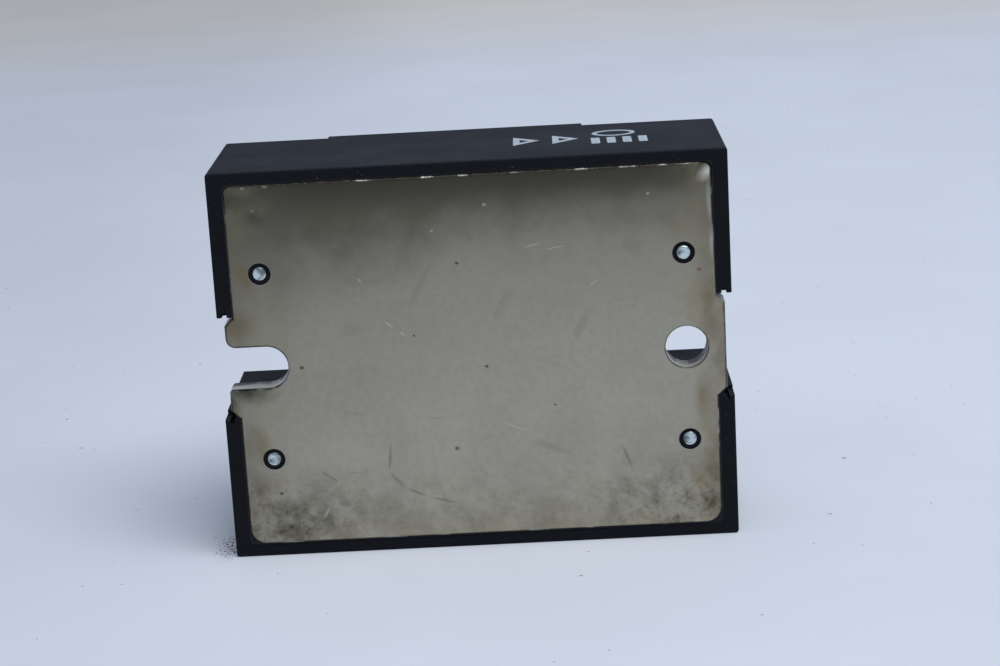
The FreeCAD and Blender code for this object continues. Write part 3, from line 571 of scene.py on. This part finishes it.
def merged(name, pieces, material):
    """One named piece from several, riding on the relay's body."""
    bpy.ops.object.select_all(action="DESELECT")
    for piece in pieces:
        piece.select_set(True)
    bpy.context.view_layer.objects.active = pieces[0]
    if len(pieces) > 1:
        bpy.ops.object.join()
    piece = bpy.context.object
    piece.name = name
    piece.data.name = name
    piece.data.materials.clear()
    piece.data.materials.append(material)
    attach(piece, BODY)
    return piece


# ---- operators -------------------------------------------------------------------------------
class RelayFinishHousing(bpy.types.Operator):
    """Give the moulded housing its matt black finish"""
    bl_idname = "relay.finish_housing"
    bl_label = "Finish Housing"

    def execute(self, context):
        dress(["housing"], moulded_plastic(context.scene.relay_finish.plastic))
        return {"FINISHED"}


class RelayFinishPlate(bpy.types.Operator):
    """Give the plate's pins, the sealant round it and the resin behind it their finishes"""
    bl_idname = "relay.finish_plate"
    bl_label = "Finish Pins and Sealant"

    def execute(self, context):
        dress(["base_pins"], struck_steel((0.60, 0.68, 0.68), (0.16, 0.20, 0.21)))
        dress(["edge_sealant"], simple_plastic("sealant_black", (0.0065, 0.008, 0.0125), 0.36,
                                               grain_mm=2.0, height_mm=0.02,
                                               Specular_IOR_Level=0.2))
        dress(["potting_resin"], simple_plastic("resin_black", (0.014, 0.014, 0.016), 0.3))
        return {"FINISHED"}


class RelayFinishTerminals(bpy.types.Operator):
    """Give the terminal strips, clamps, screws and nuts their plated finishes"""
    bl_idname = "relay.finish_terminals"
    bl_label = "Finish Terminals"

    def execute(self, context):
        names = list(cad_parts)
        dress([n for n in names if "_terminal_" in n],
              simple_metal("terminal_plated", (0.66, 0.62, 0.54), 0.30, tarnish=(0.36, 0.30, 0.20)))
        dress([n for n in names if "_clamp_" in n],
              simple_metal("clamp_plated", (0.60, 0.60, 0.58), 0.33, tarnish=(0.34, 0.31, 0.26)))
        dress([n for n in names if "_screw_" in n],
              simple_metal("screw_plated", (0.70, 0.70, 0.69), 0.24, tarnish=(0.42, 0.38, 0.30)))
        dress([n for n in names if n.endswith("_nuts")],
              simple_metal("nut_plated", (0.62, 0.55, 0.34), 0.35))
        return {"FINISHED"}


class RelayFinishInside(bpy.types.Operator):
    """Give the sealed power and control parts their finishes"""
    bl_idname = "relay.finish_inside"
    bl_label = "Finish Inside"

    def execute(self, context):
        dress(["ceramic_substrate"], simple_plastic("ceramic_white", (0.80, 0.79, 0.74), 0.6))
        dress(["substrate_copper", "chip_straps"],
              simple_metal("copper_bare", (0.80, 0.42, 0.27), 0.35, tarnish=(0.40, 0.20, 0.13)))
        dress(["thyristor_chips"], simple_metal("silicon_top", (0.42, 0.43, 0.47), 0.2))
        dress(["board_leads", "opto_pins", "snubber_wires"],
              simple_metal("wire_tinned", (0.74, 0.74, 0.72), 0.3))
        dress(["control_board"], simple_plastic("board_green", (0.030, 0.150, 0.060), 0.4))
        dress(["opto_driver"], simple_plastic("package_white", (0.70, 0.69, 0.64), 0.55))
        dress(["input_diode", "drive_transistor"],
              simple_plastic("package_black", (0.020, 0.020, 0.021), 0.55))
        dress(["chip_resistors"], simple_plastic("resistor_dark", (0.030, 0.030, 0.034), 0.3))
        dress(["snubber_capacitor"], simple_plastic("capacitor_yellow", (0.60, 0.40, 0.05), 0.35))
        dress(["snubber_resistor"], simple_plastic("resistor_blue", (0.14, 0.26, 0.38), 0.3))
        return {"FINISHED"}


class RelayFinishPanel(bpy.types.Operator):
    """Give the blank label, the indicator and its window their finishes"""
    bl_idname = "relay.finish_panel"
    bl_label = "Finish Panel"

    def execute(self, context):
        dress(["top_label"], simple_plastic("label_film", (0.40, 0.41, 0.43), 0.45, spread=0.06))
        dress(["indicator_led"], simple_plastic("lamp_red", (0.50, 0.03, 0.02), 0.25))
        dress(["indicator_lens"],
              simple_plastic("lens_red", (0.62, 0.04, 0.03), 0.08, spread=0.05, height_mm=0.001,
                             Transmission_Weight=0.7, IOR=1.49))
        return {"FINISHED"}


class RelayPrintSide(bpy.types.Operator):
    """Print plain marks on the long side wall"""
    bl_idname = "relay.print_side"
    bl_label = "Print Side Marks"

    def execute(self, context):
        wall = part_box("housing")[1].z - INK_SUNK
        pieces = []
        for x in SIDE_WEDGES["x"]:
            wedge = printed_ring(SIDE_WEDGES["half_x"], SIDE_WEDGES["half_y"], SIDE_WEDGES["line"],
                                 sides=3)
            pieces.append(laid(wedge, (x, SIDE_WEDGES["y"], wall)))
        oval = printed_ring(SIDE_OVAL["half_x"], SIDE_OVAL["half_y"], SIDE_OVAL["line"])
        pieces.append(laid(oval, (SIDE_OVAL["x"], SIDE_OVAL["y"], wall)))
        for number in range(SIDE_BARS["count"]):
            bar = printed_bar(SIDE_BARS["wide"], SIDE_BARS["deep"], SIDE_BARS["wide"] / 8)
            x = SIDE_BARS["x"] + number * SIDE_BARS["pitch"]
            pieces.append(laid(bar, (x, SIDE_BARS["y"], wall)))
        ink = printing_ink(context.scene.relay_finish.ink)
        merged("side_print", pieces, ink)
        return {"FINISHED"}


class RelayPrintLabel(bpy.types.Operator):
    """Print a border, rules and polarity signs on the label"""
    bl_idname = "relay.print_label"
    bl_label = "Print Label"

    def execute(self, context):
        low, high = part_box("top_label")
        middle = (low + high) / 2
        width, depth = high.x - low.x, high.z - low.z
        face = high.y - INK_SUNK
        border = printed_bar(width - 2 * LABEL_BORDER, depth - 2 * LABEL_BORDER, LABEL_CORNER,
                             line=LABEL_LINE)
        pieces = [(border, 0.0, 0.0)]
        for z in LABEL_RULES_Z:
            rule = printed_bar(width - 2 * LABEL_RULE_INSET, LABEL_LINE, LABEL_LINE / 3)
            pieces.append((rule, 0.0, z))
        signs_x = LABEL_SIGN_INSET - width / 2
        pieces.append((printed_plus(LABEL_SIGN), signs_x, LABEL_SIGN_Z))
        minus = printed_bar(LABEL_SIGN, LABEL_SIGN / 3, LABEL_LINE / 4)
        pieces.append((minus, signs_x, -LABEL_SIGN_Z))
        for side in (1, -1):
            ring = printed_ring(LABEL_SIGN / 2, LABEL_SIGN / 2, LABEL_LINE)
            pieces.append((ring, -signs_x, side * LABEL_SIGN_Z))
        lens_low, lens_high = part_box("indicator_lens")
        lens = (lens_low + lens_high) / 2
        reach = (lens_high.x - lens_low.x) / 2 + LENS_MARGIN
        pieces.append((printed_ring(reach, reach, LABEL_LINE), lens.x - middle.x, 0.0))
        ready = [laid(piece, (middle.x + x, face, middle.z + z), FACING_TERMINALS)
                 for piece, x, z in pieces]
        merged("label_print", ready, printing_ink(LABEL_INK))
        return {"FINISHED"}


class RelayWearPlate(bpy.types.Operator):
    """Make the base plate as it is after use, with one corner knocked back"""
    bl_idname = "relay.wear_plate"
    bl_label = "Wear Base Plate"

    def execute(self, context):
        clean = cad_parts["base_plate"]
        plate = clean.copy()
        plate.data = clean.data.copy()
        context.scene.collection.objects.link(plate)
        plate.parent = None
        plate.matrix_world = Matrix.Identity(4)
        low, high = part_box("base_plate")
        corner = Vector((PLATE_HALF_X, low.y, high.z))
        bpy.ops.object.select_all(action="DESELECT")
        plate.select_set(True)
        context.view_layer.objects.active = plate
        bpy.ops.object.mode_set(mode="EDIT")
        bpy.ops.mesh.select_all(action="SELECT")
        bpy.ops.mesh.remove_doubles(threshold=WELD)
        for axis, direction in ((0, (1.0, 0.0, 0.0)), (2, (0.0, 0.0, 1.0))):
            for step in range(1, KNOCK_CUTS + 1):
                place = corner.copy()
                place[axis] -= step * KNOCK_STEP
                bpy.ops.mesh.select_all(action="SELECT")
                bpy.ops.mesh.bisect(plane_co=place, plane_no=direction)
        bpy.ops.object.mode_set(mode="OBJECT")
        self.knock_back(plate, corner)
        bpy.ops.object.shade_smooth_by_angle(angle=SMOOTH_UNDER)
        finish = context.scene.relay_finish
        merged("worn_plate", [plate], plate_metal(finish.plate, finish.stain))
        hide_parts("base_plate")
        return {"FINISHED"}

    def knock_back(self, plate, corner):
        """Presses the corner in, deepest at its tip and fading out over the knock's reach."""
        for vertex in plate.data.vertices:
            away = math.hypot(vertex.co.x - corner.x, vertex.co.z - corner.z)
            fade = max(0.0, 1.0 - away / KNOCK_REACH)
            front = max(0.0, 1.0 - vertex.co.y / KNOCK_BEHIND)
            vertex.co.y += KNOCK_DEPTH * fade * fade * (3 - 2 * fade) * front
        plate.data.update()


class RelayMakeStage(bpy.types.Operator):
    """Set the floor, the lights and the camera"""
    bl_idname = "relay.make_stage"
    bl_label = "Make Stage"

    def execute(self, context):
        stage = context.scene.relay_stage
        self.make_floor(stage)
        self.make_lights(context, stage)
        self.make_camera(context, stage)
        return {"FINISHED"}

    def make_floor(self, stage):
        bpy.ops.mesh.primitive_plane_add(size=FLOOR_WIDTH, location=(0.0, 0.0, cad_low.z))
        floor = bpy.context.object
        floor.name = "floor"
        s = Shader("table_top")
        x, y, _ = s.axes_mm()
        tone = list(stage.floor_colour)
        # painted light: warmer far behind the relay; painted shade: darker to its left; and slightly
        # uneven all over
        far = s.remap(y, *FAR_Y)
        base = s.mix(far, tone, [c * f for c, f in zip(tone, FAR_LIGHT_TINT)])
        side = s.math("MULTIPLY", s.remap(x, *SHADE_X), 0.26)
        base = s.mix(side, base, [c * 0.45 for c in tone])
        cloudy = s.remap(s.noise(45.0, detail=3.0), 0.3, 0.7, 0.0, 0.04)
        base = s.mix(cloudy, base, (0.0, 0.0, 0.0))
        # crumbs shed along the foot of one end, and a few about the table
        reach = s.add("ShaderNodeVectorMath", operation="LENGTH")
        place = s.add("ShaderNodeMapping", vector_type="TEXTURE")
        place.inputs["Location"].default_value = (cad_low.x - CRUMB_OUT, CRUMB_Y, 0.0)
        place.inputs["Scale"].default_value = CRUMB_REACH
        s.link(s.place, place.inputs["Vector"])
        s.link(place.outputs["Vector"], reach.inputs[0])
        near = s.remap(reach.outputs["Value"], 1.0, 0.2)
        crumb = s.noise(0.30, detail=1.0, shift=(2.0, 6.0, 0.0))
        heap = s.remap(s.math("ADD", crumb, s.math("MULTIPLY", near, 0.14)), 0.69, 0.72)
        base = s.mix(s.math("MULTIPLY", heap, near), base, CRUMB_COLOUR)
        stray = s.remap(s.noise(1.1, detail=0.0, shift=(11.0, 3.0, 0.0)), 0.860, 0.875)
        base = s.mix(s.math("MULTIPLY", stray, 0.6), base, STRAY_COLOUR)
        s.colour(base)
        s.fixed(Roughness=0.7, Specular_IOR_Level=0.3)
        floor.data.materials.append(s.material)

    def make_lights(self, context, stage):
        world = bpy.data.worlds.new("room")
        world.use_nodes = True
        back = world.node_tree.nodes["Background"]
        back.inputs["Color"].default_value = ROOM_COLOUR
        back.inputs["Strength"].default_value = stage.fill_strength
        context.scene.world = world
        light = bpy.data.lights.new("key_light", "AREA")
        light.size = KEY_SIZE
        light.energy = stage.key_power
        light.color = KEY_COLOUR
        lamp = bpy.data.objects.new("key_light", light)
        lamp.location = KEY_PLACE
        lamp.rotation_euler = (-KEY_PLACE).to_track_quat("-Z", "Y").to_euler()
        context.scene.collection.objects.link(lamp)

    def make_camera(self, context, stage):
        data = bpy.data.cameras.new("camera")
        data.lens = stage.lens
        camera = bpy.data.objects.new("camera", data)
        context.scene.collection.objects.link(camera)
        back = Vector((math.sin(stage.azimuth) * math.cos(stage.elevation),
                       -math.cos(stage.azimuth) * math.cos(stage.elevation),
                       math.sin(stage.elevation)))
        level = (-back).to_track_quat("-Z", "Y").to_matrix()
        camera.matrix_world = (Matrix.Translation(Vector(stage.aim) + back * stage.distance)
                               @ (level @ Matrix.Rotation(stage.roll, 3, "Z")).to_4x4())
        data.clip_start = CLIP_START
        context.scene.camera = camera
        context.scene.view_settings.view_transform = "Standard"


class RelayPanel(bpy.types.Panel):
    """Lists the steps and their settings"""
    bl_idname = "VIEW3D_PT_relay"
    bl_label = "Solid State Relay"
    bl_space_type = "VIEW_3D"
    bl_region_type = "UI"
    bl_category = "Relay"

    def draw(self, context):
        for group in (context.scene.relay_stage, context.scene.relay_finish):
            box = self.layout.box()
            for name in group.__annotations__:
                box.prop(group, name)
        for step in STEPS:
            self.layout.operator(step.bl_idname)


STEPS = (RelayFinishHousing, RelayFinishPlate, RelayFinishTerminals, RelayFinishInside,
         RelayFinishPanel, RelayWearPlate, RelayPrintSide, RelayPrintLabel, RelayMakeStage)
SETTINGS = (RelayStageSettings, RelayFinishSettings)


def register():
    for kind in SETTINGS + STEPS + (RelayPanel,):
        bpy.utils.register_class(kind)
    bpy.types.Scene.relay_stage = PointerProperty(type=RelayStageSettings)
    bpy.types.Scene.relay_finish = PointerProperty(type=RelayFinishSettings)


def unregister():
    del bpy.types.Scene.relay_finish
    del bpy.types.Scene.relay_stage
    for kind in reversed(SETTINGS + STEPS + (RelayPanel,)):
        bpy.utils.unregister_class(kind)


def main():
    register()
    bpy.ops.relay.finish_housing()
    bpy.ops.relay.finish_plate()
    bpy.ops.relay.finish_terminals()
    bpy.ops.relay.finish_inside()
    bpy.ops.relay.finish_panel()
    bpy.ops.relay.wear_plate()
    bpy.ops.relay.print_side()
    bpy.ops.relay.print_label()
    bpy.ops.relay.make_stage()


if __name__ == "__main__":
    main()
